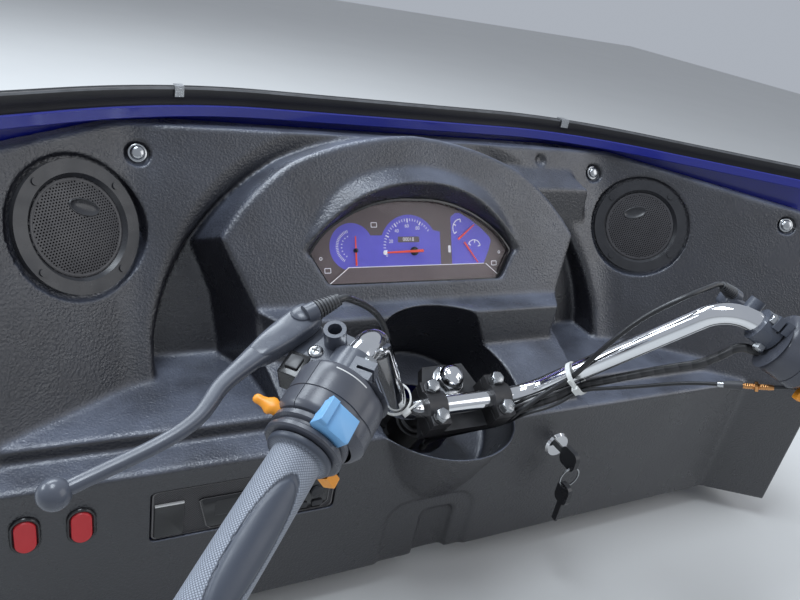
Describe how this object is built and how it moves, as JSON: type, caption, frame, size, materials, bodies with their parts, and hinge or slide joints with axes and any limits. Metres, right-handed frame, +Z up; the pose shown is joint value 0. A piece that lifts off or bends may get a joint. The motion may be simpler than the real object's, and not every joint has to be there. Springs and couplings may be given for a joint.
{
  "type": "dashboard with handlebar steering",
  "caption": "Front cockpit module of a three-wheeled taxi: moulded dashboard on its bulkhead, with instrument cluster, loudspeakers, radio and a turning handlebar.",
  "frame": {"origin": "centre of the four-hole mounting pattern on the front face of the bulkhead", "axes": "+X to the driver's right, +Y to the front of the vehicle, +Z up"},
  "size_m": [1.2, 0.5917, 0.525],
  "materials": {
    "body_blue": "gloss",
    "dash_plastic": "fine grain",
    "black_rubber": "matt",
    "zinc": "satin",
    "chrome": "polished",
    "black_steel": "satin",
    "dark_plastic": "satin",
    "grey_plastic": "satin",
    "dial": "satin",
    "lens": "clear",
    "red_plastic": "gloss",
    "black_paint": "satin",
    "cable_black": "satin",
    "white_nylon": "satin",
    "switch_blue": "satin",
    "switch_orange": "satin"
  },
  "bodies": {
    "dash": {"bulkhead": "body_blue", "cluster_body": "dark_plastic", "cluster_dial": "dial", "cluster_housing": "dark_plastic", "cluster_lens": "lens", "dash_bolt_inner_l": "zinc", "dash_bolt_inner_r": "zinc", "dash_bolt_outer_l": "zinc", "dash_bolt_outer_r": "zinc", "dash_panel": "dash_plastic", "glass_clip_l": "zinc", "glass_clip_r": "zinc", "head_tube": "black_steel", "ignition_key": "dark_plastic", "key_ring": "chrome", "key_switch": "chrome", "radio": "dark_plastic", "rocker_inner": "red_plastic", "rocker_outer": "red_plastic", "screen_rail": "body_blue", "screen_seal": "black_rubber", "spare_key": "dark_plastic", "speaker_basket_l": "black_steel", "speaker_basket_r": "black_steel", "speaker_grille_l": "dark_plastic", "speaker_grille_r": "dark_plastic", "speaker_ring_l": "dash_plastic", "speaker_ring_r": "dash_plastic"},
    "steering": {"brake_cable": "cable_black", "brake_lever": "black_paint", "cable_tie_l": "white_nylon", "cable_tie_r": "white_nylon", "clamp_cap_l": "zinc", "clamp_cap_r": "zinc", "clutch_cable": "cable_black", "clutch_lever": "black_paint", "dip_switch": "switch_blue", "grip_l": "black_rubber", "grip_r": "black_rubber", "handlebar": "chrome", "horn_switch": "switch_orange", "lever_perch_l": "black_paint", "lever_perch_r": "black_paint", "steering_stem": "black_steel", "stem_nut": "chrome", "stop_switch": "switch_orange", "switch_housing": "grey_plastic", "switch_loom": "cable_black", "throttle_cable": "cable_black", "throttle_housing": "grey_plastic", "turn_switch": "switch_orange"}
  },
  "joints": [
    {"name": "steering_turn", "type": "hinge", "parent": "dash", "child": "steering", "pos_m": [0, -0.277, 0.197], "axis": [0, -0.4848, 0.8746], "range_deg": [-35, 35]}
  ]
}
